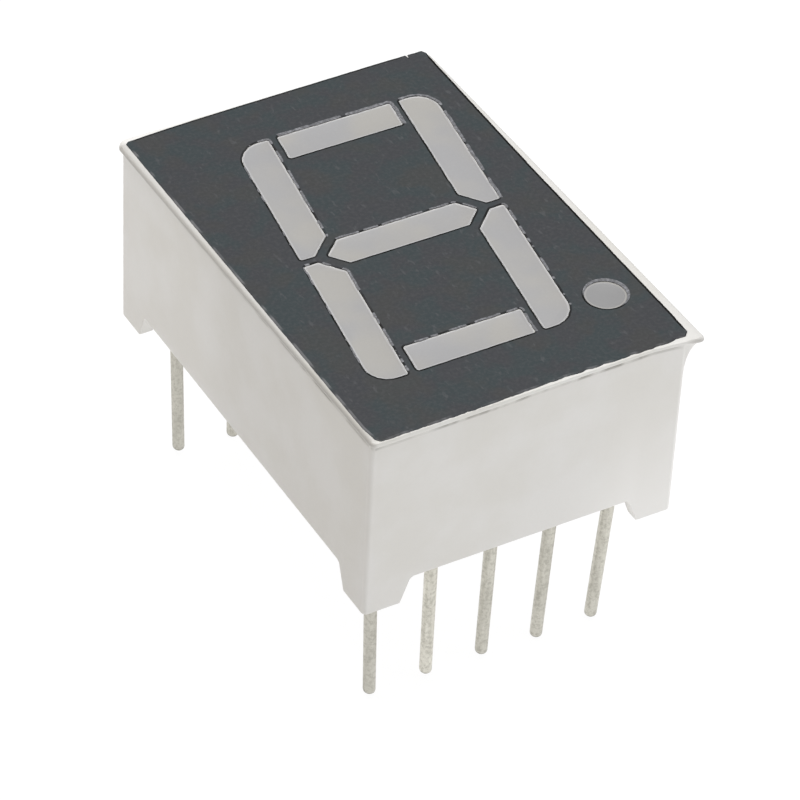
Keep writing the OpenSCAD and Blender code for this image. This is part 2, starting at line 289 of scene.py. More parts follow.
# %% Handing a piece over
def placed(mesh, name, slot, *nodes, crease=35):
    """Hands a mesh to the frame as a piece that stands for the named parts."""
    mesh.shade_smooth()
    mesh.set_sharp_from_angle(angle=math.radians(crease))
    if not mesh.materials:
        mesh.materials.append(finishes[slot])
    piece = bpy.data.objects.new(name, mesh)
    bpy.context.scene.collection.objects.link(piece)
    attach(piece, "root")
    if nodes:
        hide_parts(*nodes)
    meeting = Counter(loop.edge_index for loop in mesh.loops)
    open_edges = sum(1 for faces in meeting.values() if faces != 2)
    print(f"{name}: {len(mesh.polygons)} faces, {open_edges} open edges")


# %% [markdown]
# ## Writing finishes as sums
#
# A finish is a small program of nodes. It reads best as arithmetic, so one class wraps an
# output socket and gives it Python's operators: each sum adds the Math node that works it out.
# One method makes every other node from its type, its settings and what goes in its sockets.
# The function behind that method makes the nodes of the sky and of the Geometry Nodes trees too.

# %% Sums of sockets
class Link:
    """An output socket that can be used in sums."""

    def __init__(self, finish, socket):
        self.finish, self.socket = finish, socket

    def sum(self, how, a, b):
        return self.finish.node("ShaderNodeMath", {"operation": how}, {0: a, 1: b})

    def __add__(self, other):
        return self.sum("ADD", self, other)

    def __sub__(self, other):
        return self.sum("SUBTRACT", self, other)

    def __rsub__(self, other):
        return self.sum("SUBTRACT", other, self)

    def __mul__(self, other):
        return self.sum("MULTIPLY", self, other)

    __radd__, __rmul__ = __add__, __mul__


# %% Making nodes
def put(tree, socket, value):
    """Links a socket to an output, or sets it where the value is a constant."""
    if isinstance(value, Link):
        value = value.socket
    if isinstance(value, bpy.types.NodeSocket):
        tree.links.new(value, socket)
    elif socket.type == "RGBA":
        socket.default_value = (*value, 1)
    else:
        socket.default_value = value


def add_node(tree, kind, settings, sockets, out=0):
    """Makes a node, fills in its settings and sockets, and gives one of its outputs."""
    made = tree.nodes.new(kind)
    for key, value in settings.items():
        setattr(made, key, value)
    for key, value in sockets.items():
        put(tree, made.inputs[key], value)
    return made.outputs[out]


# %% Finish helper
class Finish:
    """A material with one Principled shader, built up by method calls."""

    def __init__(self, name):
        self.material = bpy.data.materials.new(name)
        self.material.use_nodes = True
        self.tree = self.material.node_tree
        self.shader = self.tree.nodes["Principled BSDF"]
        self.place = self.node("ShaderNodeTexCoord", {}, {}, "Object")

    def node(self, kind, settings, sockets, out=0):
        return Link(self, add_node(self.tree, kind, settings, sockets, out))

    def set(self, **values):
        for key, value in values.items():
            put(self.tree, self.shader.inputs[key.replace("_", " ")], value)

    def noise(self, size, detail=2.0, roughness=0.5, stretch=None):
        """Soft patches of a given size in millimetres, from 0 to 1."""
        place = self.place
        if stretch:
            place = self.node("ShaderNodeVectorMath", {"operation": "MULTIPLY"}, {0: place, 1: stretch})
        return self.node(
            "ShaderNodeTexNoise", {},
            {"Vector": place, "Scale": 1 / (size * MM), "Detail": detail, "Roughness": roughness},
        )

    def ramp(self, value, low, high, to=(0.0, 1.0)):
        """The value stretched so that low becomes to[0] and high becomes to[1]."""
        return self.node(
            "ShaderNodeMapRange", {"interpolation_type": "SMOOTHSTEP"},
            {"Value": value, "From Min": low, "From Max": high, "To Min": to[0], "To Max": to[1]},
        )

    def mix(self, factor, a, b):
        """One colour where the factor is 0, the other where it is 1."""
        return self.node("ShaderNodeMix", {"data_type": "RGBA"}, {0: factor, 6: a, 7: b}, 2)

    def attribute(self, name):
        return self.node("ShaderNodeAttribute", {"attribute_name": name}, {}, "Fac")

    def bump(self, height, depth):
        """Turns a height from 0 to 1 into a relief this deep, in millimetres."""
        return self.node("ShaderNodeBump", {}, {"Height": height, "Strength": 1.0, "Distance": depth * MM})


# %% [markdown]
# ## Moulded plastic
#
# The housing is white plastic, a little warm, moulded with a faint grain. Broad soft patches
# shift the white by a few percent, and a fine noise roughens the gloss and lifts the surface by
# a couple of thousandths of a millimetre. Where edge is above zero the white is darkened by
# painted shade, as in the groove under the lip. Where edge is below zero it is paler with painted light.

# %% Housing plastic
def housing_plastic():
    warm, clean, shaded = (0.775, 0.76, 0.725), (0.815, 0.805, 0.785), (0.66, 0.65, 0.62)
    # The paler colour paints light and the darker one paints shade, both chosen by edge below.
    painted_light, painted_shade = (0.93, 0.92, 0.9), (0.3, 0.285, 0.26)
    finish = Finish("housing_plastic")
    patches = finish.ramp(finish.noise(3.2, 3), 0.35, 0.65)
    grain = finish.noise(0.12, 3, 0.6)
    white = finish.mix(patches, warm, clean)
    white = finish.mix(finish.ramp(grain, 0.3, 0.7, (0.0, 0.06)), white, shaded)
    edge = finish.attribute("edge")
    # Painted light: where edge is below zero the white is lifted towards a paler colour.
    white = finish.mix(finish.ramp(edge, 0, -1), white, painted_light)
    finish.set(
        # Painted shade: where edge is above zero the white is darkened.
        Base_Color=finish.mix(edge, white, painted_shade),
        Roughness=grain * 0.18 + 0.4,
        Normal=finish.bump(grain, 0.003),
    )
    return finish.material


# %% [markdown]
# ## Ink
#
# The face is printed with matt charcoal ink. It is not one even grey: it dries in faint cool
# and warm clouds with fine pigment grain. It is densest along the bead at most of its edges,
# where edge is above zero, and worn thin and pale along the rest, where edge is below zero.

# %% Face ink
def face_ink():
    blue, green, warm_grey = (0.057, 0.06, 0.066), (0.05, 0.063, 0.068), (0.062, 0.063, 0.062)
    dust, speck = (0.13, 0.132, 0.138), (0.11, 0.113, 0.12)
    thin, dense = (0.3, 0.3, 0.31), (0.006, 0.006, 0.005)
    finish = Finish("face_ink")
    cool = finish.ramp(finish.noise(1.3, 3), 0.42, 0.6)
    warm = finish.ramp(finish.noise(1.9, 3, stretch=(1.0, 1.0, 1.7)), 0.5, 0.64)
    grain = finish.noise(0.14, 3, 0.6)
    specks = finish.ramp(finish.noise(0.2, 2, 0.5, (1.0, 0.45, 1.0)), 0.62, 0.76, (0.0, 0.5))
    edge = finish.attribute("edge")
    ink = finish.mix(cool, blue, green)
    ink = finish.mix(warm * 0.7, ink, warm_grey)
    ink = finish.mix(finish.ramp(grain, 0.35, 0.8, (0.0, 0.24)), ink, dust)
    ink = finish.mix(specks, ink, speck)
    ink = finish.mix(finish.ramp(edge, 0, -1), ink, thin)
    finish.set(
        Base_Color=finish.mix(finish.ramp(edge, 0, 1), ink, dense),
        Roughness=grain * 0.2 + 0.52,
        Specular_IOR_Level=0.12,
        Normal=finish.bump(grain, 0.004),
    )
    return finish.material


# %% Worn ink
def worn_ink():
    """The thin greyed skin where the print missed its edge."""
    finish = Finish("worn_ink")
    streaks = finish.ramp(finish.noise(0.14, 3, 0.7), 0.4, 0.7)
    finish.set(
        Base_Color=finish.mix(streaks, (0.13, 0.133, 0.143), (0.29, 0.295, 0.32)),
        Roughness=finish.noise(0.1) * 0.2 + 0.5,
    )
    return finish.material


# %% [markdown]
# ## Clear grey resin
#
# Each well is cast full of grey epoxy with a diffusing powder in it, so a lit die glows evenly.
# Unlit, it reads as a smooth pale grey, with a painted highlight along the rim of its window,
# where edge is above zero. The decimal point is darker in its middle, where edge is below zero,
# and less dark at its rim, which is a painted highlight too.

# %% Light resin
def light_resin():
    cool, warm, powdery = (0.395, 0.395, 0.405), (0.435, 0.425, 0.405), (0.55, 0.55, 0.55)
    # The rim colour is a painted highlight along the window's edge.
    deep, rim = (0.31, 0.31, 0.315), (0.56, 0.56, 0.575)
    finish = Finish("light_resin")
    clouds = finish.ramp(finish.noise(2.6, 2), 0.35, 0.65)
    powder = finish.noise(0.07, 3, 0.6)
    body = finish.mix(clouds, cool, warm)
    body = finish.mix(finish.ramp(powder, 0.4, 0.8, (0.0, 0.12)), body, powdery)
    edge = finish.attribute("edge")
    body = finish.mix(finish.ramp(edge, 0, -1), body, deep)
    # Painted highlight at the rim, where edge is above zero.
    finish.set(
        Base_Color=finish.mix(finish.ramp(edge, 0, 1), body, rim),
        Roughness=powder * 0.15 + 0.3,
        Normal=finish.bump(finish.noise(0.5, 2), 0.004),
    )
    return finish.material


# %% [markdown]
# ## Metals, board and the resin at the back
#
# The pins are steel dipped in tin. The tin dulls unevenly, with streaks along the pin, and the
# cut tips show bare darker steel. The board, copper, gold, solder and dies are sealed inside,
# but each still gets the finish of its real material, because a part may be shown on its own.

# %% Tinned steel
def tinned_pin():
    bright, grey, spotted = (0.78, 0.76, 0.68), (0.64, 0.62, 0.55), (0.42, 0.41, 0.355)
    dull, steel = (0.36, 0.35, 0.31), (0.14, 0.13, 0.12)
    finish = Finish("tinned_pin")
    streaks = finish.ramp(finish.noise(0.22, 4, 0.6, (1.0, 1.0, 0.12)), 0.35, 0.7)
    mottle = finish.ramp(finish.noise(0.13, 3, 0.7), 0.42, 0.66)
    tin = finish.mix(streaks, bright, grey)
    tin = finish.mix(mottle * 0.5, tin, spotted)
    tin = finish.mix(finish.attribute("dull") * 0.6, tin, dull)
    finish.set(
        Base_Color=finish.mix(finish.attribute("edge"), tin, steel),
        Metallic=0.75,
        Roughness=mottle * 0.2 + 0.36,
        Normal=finish.bump(finish.noise(0.12, 3, 0.6), 0.008),
    )
    return finish.material


# %% Finishes of two close colours
def mottled(name, size, dark, light, rough, depth, metallic=0.0):
    """A finish of two close colours in patches, with a fine relief."""
    finish = Finish(name)
    patches = finish.ramp(finish.noise(size, 3, 0.6), 0.35, 0.65)
    fine = finish.noise(size / 6, 2)
    finish.set(
        Base_Color=finish.mix(patches, dark, light),
        Metallic=metallic,
        Roughness=fine * 0.16 + rough,
        Normal=finish.bump(fine, depth),
    )
    return finish.material


# %% Sealing resin
def back_resin():
    finish = Finish("back_resin")
    clouds = finish.ramp(finish.noise(3.5, 3), 0.35, 0.65)
    bubbles = finish.ramp(finish.noise(0.25, 1), 0.72, 0.8)
    body = finish.mix(clouds, (0.50, 0.49, 0.465), (0.57, 0.565, 0.55))
    finish.set(
        Base_Color=finish.mix(bubbles * 0.5, body, (0.68, 0.68, 0.67)),
        Roughness=finish.noise(0.8) * 0.16 + 0.14,
        Coat_Weight=0.3,
        Normal=finish.bump(finish.noise(1.8, 2), 0.02),
    )
    return finish.material


# %% Finishes by slot
finishes = {
    "housing_plastic": housing_plastic(),
    "face_ink": face_ink(),
    "light_resin": light_resin(),
    "tinned_pin": tinned_pin(),
    "back_resin": back_resin(),
    "solder_resist": mottled("solder_resist", 0.9, (0.78, 0.78, 0.76), (0.84, 0.84, 0.83), 0.3, 0.003),
    "copper": mottled("copper", 0.5, (0.55, 0.25, 0.12), (0.68, 0.33, 0.17), 0.3, 0.002, 1.0),
    "board": mottled("board", 0.7, (0.42, 0.33, 0.15), (0.52, 0.42, 0.22), 0.5, 0.006),
    "led_crystal": mottled("led_crystal", 0.1, (0.17, 0.03, 0.025), (0.25, 0.05, 0.04), 0.15, 0.001),
    "gold_wire": mottled("gold_wire", 0.1, (0.75, 0.5, 0.16), (0.85, 0.6, 0.24), 0.2, 0.0005, 1.0),
    "solder": mottled("solder", 0.2, (0.5, 0.5, 0.49), (0.62, 0.62, 0.61), 0.25, 0.003, 1.0),
}
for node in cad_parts.values():
    for place in node.material_slots:
        place.material = finishes[place.material.name.split(".")[0]]
print("finishes:", len(finishes))

# %% [markdown]
# ## The housing
#
# The housing is one moulding. Its walls stand on four corner feet with an arch between each
# pair, and a thin lip runs round the face, wider on the right and drawn out to a flared lower
# right corner. A section through the wall follows the same rule all the way round, so the skin
# is made of columns: one section for each step along the wall, with the arch setting how low it
# reaches and the lip setting how far it stands out. Sharp moulded edges get a small radius.
# The same rule says where light and shade are painted on the wall: painted shade in the groove
# under the lip, along the lip's left and right edges and on the left wall, and painted light on
# the corners, the lip's far side and the low near wall by the right foot.

# %% Wall plan
WALL = 0.6
EDGE_R = 0.2
CORNER_STEPS, CROWN_STEPS = 22, 24
CORNER_FLAT, INNER_FLAT = 0.6, 0.1
FOOT_H, FOOT_L, FOOT_RUN = 1.1, 1.5, 0.4
FOOT_ROUND, CROWN_ROUND = 0.06, 0.25
LIP_T = 0.2
half_in = box_mm("back_potting")[1].xy
half_out = half_in + Vector((WALL, WALL))


def arch(half):
    """Half an arch: points (distance from the middle, height) from the foot to the crown."""
    low, high = half - FOOT_L, half - FOOT_L - FOOT_RUN
    corners = [Vector(p) for p in ((half, 0), (low, 0), (high, FOOT_H), (0, FOOT_H), (0, -1), (half, -1))]
    return rounded(corners, [0, FOOT_ROUND, CROWN_ROUND, 0, 0, 0])[1:-3]


def wall_steps(half, inner_half):
    """Steps along one wall: (place outside, place inside, height of the lower edge)."""
    side = [(d, d, max(0.0, height)) for d, height in arch(half)]
    crown = side[-1][0]
    places = [crown * k / CROWN_STEPS for k in range(CROWN_STEPS - 1, -CROWN_STEPS, -1)]
    inner = [(t, t, FOOT_H) for t in places]
    flat = half - CORNER_FLAT
    corner = [
        (half - EDGE_R, inner_half - EDGE_R, 0.0),
        (flat, min(flat, inner_half - EDGE_R - INNER_FLAT), 0.0),
    ]
    right = corner + side
    left = [(-a, -b, h) for a, b, h in reversed(right)]
    return right + inner + left


# %% Columns
def plan():
    """Every column's outer point, inner point, outward direction and lower edge, in order."""
    columns = []
    for turn in range(4):
        along, across = (0, 1) if turn % 2 == 0 else (1, 0)
        quarter = Matrix.Rotation(turn * math.pi / 2, 2)
        half, depth = half_out[along], half_out[across]
        inner_half, inner_depth = half_in[along], half_in[across]
        for t, t_in, height in wall_steps(half, inner_half):
            columns.append((
                quarter @ Vector((t, depth)), quarter @ Vector((t_in, inner_depth)),
                quarter @ Vector((0, 1)), height,
            ))
        for k in range(1, CORNER_STEPS):
            angle = math.pi / 2 * (1 + k / CORNER_STEPS)
            n = Vector((math.cos(angle), math.sin(angle)))
            outer = Vector((EDGE_R - half, depth - EDGE_R)) + n * EDGE_R
            inner = Vector((EDGE_R - inner_half, inner_depth - EDGE_R)) + n * EDGE_R
            columns.append((quarter @ outer, quarter @ inner, quarter @ n, 0.0))
    return columns


columns = plan()
print("wall columns:", len(columns))

# %% [markdown]
# The lip's outline is not the wall's outline moved out, so each column looks along its own
# outward direction for the place where it crosses the lip's edge.

# %% Reach of the lip
def reach(point, direction, outline):
    """Distance from a point to an outline, looking along a direction."""
    best = None
    for i in range(len(outline)):
        a, b = outline[i - 1] - point, outline[i] - point
        ca, cb = direction.cross(a), direction.cross(b)
        if (ca <= 0) == (cb <= 0):
            continue
        crossing = a.lerp(b, ca / (ca - cb))
        far = crossing.dot(direction)
        if far > -0.01 and (best is None or far < best):
            best = far
    return best or 0.0


overhang = [reach(p, n, lip_edge) for p, _, n, _ in columns]
print("lip overhang from", round(min(overhang), 3), "to", round(max(overhang), 3), "mm")

# %% Rules for places and directions
def smooth_step(low, high, x):
    """From 0 at low to 1 at high, level at both ends."""
    t = max(0.0, min(1.0, (x - low) / (high - low)))
    return t * t * (3 - 2 * t)


def waver(p, scale, seed):
    """Smooth noise at a place on the plan; a larger scale makes finer waves."""
    return noise.noise(Vector((p.x * scale, p.y * scale, seed)))


def looks(n):
    """How far a direction looks right, left, far and near, each from 0 to 1."""
    return max(0, n.x), max(0, -n.x), max(0, n.y), max(0, -n.y)


# %% [markdown]
# The section goes up inside the wall, round its lower edge, and up outside, where it leans out
# a little so that the moulding can leave its mould. Then it curves out under the lip in a small
# cove, which is deepest near the flared corner, and goes over the lip to the rim of the face.

# %% Housing skin
EDGE_ROUND, LIP_ROUND = 0.05, 0.03
DRAFT = 0.02
SUPPORT = 0.03
COVE, COVE_FLARED = 0.12, 0.9
COVE_STEPS, LIP_STEPS = 6, 5
CREASE_IN, CREASE_SHADE = 0.02, 0.75
LIP_THINNER = 0.05
RIM = 0.16
FLARE_REACH, FLARE_OUT = (2.2, 0.5), (0.1, 0.5)
ARC = [math.radians(a) for a in (0, 30, 60, 90)]
flare = Vector((half_out.x, -half_out.y))


def wall_tone(p, n):
    """Edge number of a wall: above zero for painted shade on the left wall, below zero for painted light at
    a corner.
    """
    # Painted shade on the near half of the left wall, a little less at its near end, and painted light on
    # every corner.
    grey = max(0, -n.x) * smooth_step(4, 0, p.y) * (1 - 0.4 * smooth_step(-3, -9, p.y))
    return 0.105 * grey - 0.3 * min(1, 4 * abs(n.x * n.y))


def groove_shade(p, n, out):
    """Painted shade under the lip, whose amount also sets how deep its crease is: in broken patches where
    the lip is narrow, and least on the far side.
    """
    broken = waver(p, 1.7, 13.26) + 0.7 * waver(p, 5.3, 41.34)
    patches = 0.3 + 0.9 * smooth_step(-0.2, 0.5, broken)
    return patches * smooth_step(0.24, 0.14, out) * (1 - 0.7 * max(0, n.y))


def wall_section(column, out):
    """One section, as (place, height, edge): up inside, under the edge, up the wall, over the lip."""
    p, q, n, low = column
    right, left, far, near = looks(n)
    inward = (q - p).normalized()
    foot = low + EDGE_ROUND
    tone = wall_tone(p, n)
    # Painted light low on the near wall, growing towards the right foot.
    foot_tone = tone - 0.8 * near * smooth_step(0, 5.5, p.x)
    flared = smooth_step(*FLARE_REACH, (p - flare).length) * smooth_step(*FLARE_OUT, out)
    # Painted shade in the groove under the lip; the same amount sets how deep the crease is cut.
    painted_shade = (1 - flared) * groove_shade(p, n, out)
    cove = COVE + out + COVE_FLARED * flared
    lip_z = TOP - LIP_T + LIP_THINNER * smooth_step(-1.5, 0.5, p.x) * near * (1 - flared)
    # The lip is rounder on the right and left sides, with painted shade along its edge there.
    lip_round = LIP_ROUND + 0.11 * right + 0.09 * left
    lip_tone = 0.5 * right + 0.34 * left

    def wall(z, d=0.0, shade=0.0):
        return p + n * (d - DRAFT * (1 - z / TOP)), z, shade + tone

    rows = [(q, ceiling, 0), (q, foot + SUPPORT, 0)]
    for a in ARC:
        rows.append((q - inward * EDGE_ROUND * (1 - math.cos(a)), foot - EDGE_ROUND * math.sin(a), 0))
    outer = wall(low)[0]
    for a in ARC:
        place = outer + inward * EDGE_ROUND * (1 - math.sin(a))
        rows.append((place, foot - EDGE_ROUND * math.cos(a), foot_tone))
    rows += [wall(foot + SUPPORT, 0, foot_tone - tone), wall(lip_z - cove - SUPPORT)]
    # The cove's crease is cut in and darkened with painted shade.
    for k in range(COVE_STEPS + 1):
        a = math.pi / 2 * k / COVE_STEPS
        crease = painted_shade * abs(math.sin(2 * a)) ** 0.5
        d = (out - LIP_ROUND) * (1 - math.cos(a)) - CREASE_IN * crease
        rows.append(wall(lip_z - cove * (1 - math.sin(a)), d, CREASE_SHADE * crease))
    for a in ARC[1:]:
        d = out - LIP_ROUND * (1 - math.sin(a))
        rows.append((p + n * d, lip_z + LIP_ROUND * (1 - math.cos(a)), lip_tone))
    for k in range(LIP_STEPS + 1):
        a = math.pi / 2 * k / LIP_STEPS
        d = out - lip_round * (1 - math.cos(a))
        # Painted shade over the lip's right and left tops, and painted light over its far side.
        shade = lip_tone * (1 - k / LIP_STEPS) + 0.12 * right + 0.32 * left - far
        rows.append((p + n * d, TOP - lip_round * (1 - math.sin(a)), shade))
    # The painted light on the far side reaches in to the rim of the face.
    rows.append((p - n * RIM, TOP, -far))
    return rows


ceiling = box_mm("solder_mask")[1].z
openings = flat_loops("housing", ceiling, -1)[1:]
print("openings in the ceiling:", len(openings))

# %% Housing piece
SLOT_ROUND = 15
SLOT_ROOM = 0.2
MOUTH = [(0.015, TOP, 0), (0.004, TOP - 0.004, 0), (0, TOP - 0.015, 0), (0, TOP - 0.4, 0)]


def add_well(skin, window):
    """A tapered well from a window down to the opening below it: its top row and its bottom row."""
    mouth = skin.rows(window, MOUTH)
    wells = [loop for loop in openings if length_round(loop) < SLOT_ROUND]
    below = min(wells, key=lambda loop: (middle(loop) - middle(window)).length)
    throat = skin.row(below[::-1], ceiling)
    skin.cone(mouth[-1], throat)
    return mouth[0], throat


def add_slot(skin, slot):
    """A blind slot over one row of pins: its bottom row."""
    low = skin.row(slot, ceiling)
    high = skin.row(slot, box_mm("pin_1")[1].z + SLOT_ROOM)
    skin.strips([low, high])
    skin.fill([high])
    return low


def build_housing():
    skin = Skin()
    sections = [wall_section(column, out) for column, out in zip(columns, overhang)]
    rows = []
    for level in zip(*sections):
        points, heights, edges = (list(values) for values in zip(*level))
        rows.append(skin.row(points, heights, edges))
    skin.strips(rows)
    wells = [add_well(skin, window) for window in windows.values()]
    skin.fill([rows[-1]] + [mouth for mouth, _ in wells])
    slots = [add_slot(skin, loop) for loop in openings if length_round(loop) > SLOT_ROUND]
    skin.fill([rows[0]] + [throat for _, throat in wells] + slots)
    skin.finish("housing_shell", "housing_plastic", "housing")


build_housing()

# %% [markdown]
# ## The printed face
#
# The ink is stamped onto the face by a soft pad, which leaves it a little out of square, with
# cut corners and a nibbled near edge. It is a thin plate: its outline is walked in short steps
# that are pushed in and out by noise, a rounded bead runs along every edge, and each window is
# left open with a hair of bare plastic round it.

# %% Ink outline
INK_T = box_mm("face_print")[1].z - TOP
ink_corners = [
    (-6.33, 9.33, 0.08), (-6.33, -8.75, 0), (-6.26, -9.2, 0), (-6.25, -9.42, 0), (-6.08, -9.61, 0.1),
    (-2.4, -9.585, 0), (0.7, -9.48, 0), (5.5, -9.49, 0), (5.95, -9.43, 0), (6.34, -9.44, 0.09),
    (6.53, -9.24, 0.09), (6.555, -8.2, 0), (6.45, 1.5, 0), (6.48, 9.45, 0.09), (6.37, 9.64, 0.08),
    (5.77, 9.64, 0), (5.72, 9.42, 0), (5.67, 9.65, 0), (4.9, 9.66, 0), (2.2, 9.63, 0), (-2.0, 9.58, 0),
    (-3.4, 9.555, 0), (-4.9, 9.505, 0), (-6.2, 9.43, 0.08),
]
NICK = (5.6, 5.8)
SHARP = [Vector((x, y)) for x, y, r in ink_corners if r or NICK[0] < x < NICK[1]]
CREST = 0.25
SMOOTH_EDGE, NIBBLED_EDGE = 0.014, 0.055


def ragged(loop, depth, seed):
    """An outline pushed in and out by noise, as far as depth says for each point."""
    moved = []
    for i, p in enumerate(loop):
        push = min(CREST, waver(p, 2.4, seed) * 0.6 + waver(p, 7.0, seed + 5) * 0.5)
        moved.append(p + outward(loop, i) * push * depth(p))
    return moved


def to_corner(p):
    return min((p - corner).length for corner in SHARP)


def ink_depth(p):
    """How ragged the ink is: most along its near edge, and not at all at a sharp corner."""
    nibbled = smooth_step(-9.2, -9.35, p.y) * smooth_step(6.4, 5.9, p.x)
    return (SMOOTH_EDGE + NIBBLED_EDGE * nibbled) * smooth_step(0.0, 0.3, to_corner(p))


ink_edge = rounded([Vector((x, y)) for x, y, _ in ink_corners], [r for _, _, r in ink_corners], 4)
ink_edge = ragged(stepped(ink_edge, 0.08), ink_depth, 3)
print("ink outline points:", len(ink_edge), "length:", round(length_round(ink_edge), 1), "mm")

# %% [markdown]
# The print was stamped twice, and the second pass landed a little to the right and far side of
# the first. So its outline is densest on those sides, and each window's bead is thinner there.

# %% Ink sizes
SECOND_PASS = Vector((0.8, 0.6))
BEAD = [(0, 0.0), (0, 0.6), (0.006, 0.85), (0.018, 0.95), (0.035, 0.945), (0.07, 0.92), (0.09, 0.92)]
BEAD_W = 0.08
BARE_WINDOW, BARE_POINT, RAGGED_HOLE = 0.024, 0.008, 0.018


def worn(p, seed):
    """How worn an edge is, from 0 to 1, in soft patches."""
    return smooth_step(-0.3, 0.3, waver(p, 1.8, seed))


# %% Ink edges
def border(skin, loop, inward, tone, room):
    """The rounded bead along one edge, dark where tone is above zero and worn where it is below."""
    made = []
    for d, h in BEAD:
        ring = [p + outward(loop, i) * inward * d * room[i] for i, p in enumerate(loop)]
        made.append(skin.row(ring, TOP + INK_T * h, tone if d < BEAD_W else 0.0))
    skin.strips(made)
    return made


def outer_tone(i):
    """Dark on the right and far edges, and worn in places on the left and near ones."""
    p = ink_edge[i]
    right, left, far, near = looks(outward(ink_edge, i).normalized())
    return 0.9 * right + 0.6 * far - (0.45 * left + 0.35 * near) * worn(p, 7)


# %% Ink field
def build_ink():
    skin = Skin()
    # The bead narrows at a sharp corner, where its rows would cross.
    room = [min(1.2, 0.12 + 3 * to_corner(p)) for p in ink_edge]
    outer = border(skin, ink_edge, -1, [outer_tone(i) for i in range(len(ink_edge))], room)
    top, base = [outer[-1]], [outer[0]]
    for seed, (name, window) in enumerate(windows.items()):
        hole = stepped(window, 0.12)
        stamped = [outward(hole, i).normalized().dot(SECOND_PASS) for i in range(len(hole))]
        bare = BARE_POINT if name == "dp" else BARE_WINDOW
        hole = ragged(grown(hole, bare), lambda p: RAGGED_HOLE, seed * 9)
        tone = [0.75 - 0.15 * share - 0.3 * worn(p, seed) for p, share in zip(hole, stamped)]
        made = border(skin, hole, 1, tone, [1] * len(hole))
        top.append(made[-1])
        base.append(made[0])
    skin.fill(top)
    skin.fill(base)
    skin.finish("ink_field", "face_ink", "face_print", crease=60)


build_ink()

# %% [markdown]
# ## Resin in the windows
#
# Cast resin climbs the wall of its well as it sets. Each window therefore has a narrow raised
# rim and a face that dips very slightly. The resin is a merged copy of its part, with its flat
# top taken off and the rim and dip put on as rows.

# %% Window resin
# The rim's edge number paints a highlight round each window. At the decimal point the rim is only less dark
# than its middle, also a painted highlight.
RIM_HIGHLIGHT, BODY_TONE, RIM_W = 0.85, 0.0, 0.044
POINT_RIM = (-0.3, -1.0, 0.08)


def build_resin(name, node, window):
    skin = Skin()
    add_merged(skin.bm, node)
    skin.edge = skin.bm.verts.layers.float["edge"]
    bmesh.ops.delete(skin.bm, geom=level_faces(skin.bm, TOP), context="FACES")
    top = {(round(v.co.x, 3), round(v.co.y, 3)): v for v in skin.bm.verts if abs(v.co.z - TOP) < LEVEL}
    first = [top[(round(p.x, 3), round(p.y, 3))] for p in window]
    rim, body, width = POINT_RIM if name == "dp" else (RIM_HIGHLIGHT, BODY_TONE, RIM_W)
    for v in first:
        v[skin.edge] = rim
    made = skin.rows(window, [
        (-0.01, TOP + 0.006, rim), (-0.6 * width, TOP + 0.004, rim),
        (-width, TOP - 0.003, (rim + body) / 2), (-width - 0.014, TOP - 0.008, body),
    ])
    skin.strips([first, made[0]])
    skin.fill([made[-1]])
    skin.finish("resin_" + name, "light_resin", node, crease=50)


for name, window in windows.items():
    build_resin(name, LIGHTS[name], window)

# %% [markdown]
# ## The resin at the back
#
# The back is sealed by pouring resin over the board with the display face down. The resin wets
# the walls and the pins and climbs them, so its surface is a shallow pool with a curved edge.

# %% Back resin
PIN_R = 0.25
PINS = [f"pin_{n}" for n in range(1, 11)]
POOL_RISE, POOL_WAVE = 0.12, 0.012
SHORE = ((0.1, 0.35), (0.3, 0.7), (0.6, 0.9), (1.0, 1.0))
GRID, PIN_ROOM = 0.8, 0.6
centres = [middle([corner.xy for corner in box_mm(name)]) for name in PINS]


def circle(centre, radius, count=28):
    turns = [k * math.tau / count for k in range(count)]
    return [centre + radius * Vector((math.cos(a), math.sin(a))) for a in turns]


def build_pool():
    low, high = (corner.z for corner in box_mm("back_potting"))
    box = [Vector((x * half_in.x, y * half_in.y)) for x, y in ((-1, -1), (1, -1), (1, 1), (-1, 1))]
    wall = stepped(rounded(box, [EDGE_R] * 4), 0.3)
    skin = Skin()

    def rise(p):
        return POOL_RISE + POOL_WAVE * waver(p, 0.5, 4)

    def shore(loop, spread):
        """Rows from the inner side of the resin to its outer side and out along its curved shore."""
        made = [skin.row(loop, high), skin.row(loop, low)]
        for d, share in SHORE:
            ring = grown(loop, d * spread)
            made.append(skin.row(ring, [low + rise(p) * share for p in ring], 1 - share))
        skin.strips(made)
        return made

    shores = [shore(wall, -0.1)] + [shore(circle(centre, PIN_R), 0.2) for centre in centres]
    grid = [Vector((x * GRID, y * GRID)) for x in range(-6, 7) for y in range(-10, 11)]
    grid = [p for p in grid if min((p - centre).length for centre in centres) > PIN_ROOM]
    skin.fill([rows[-1] for rows in shores], lambda p: low + rise(p), grid)
    skin.fill([rows[0] for rows in shores])
    skin.finish("back_resin_pool", "back_resin", "back_potting", crease=60)


build_pool()

# %% [markdown]
# ## The pins
#
# Ten pins stand in two rows on a fixed pitch. One pin is turned as a profile, and a Geometry
# Nodes tree stands a copy on each of ten points. Handling has left the pins leaning a little
# towards the middle, and the cutter left them unequal, so below the resin the tree pushes each
# pin sideways and draws up its tip. The points carry how short and how dull each pin is.

# %% One pin
COLLAR_R, COLLAR_T = 0.4, 0.16
WIRE_R = PIN_R - 0.01


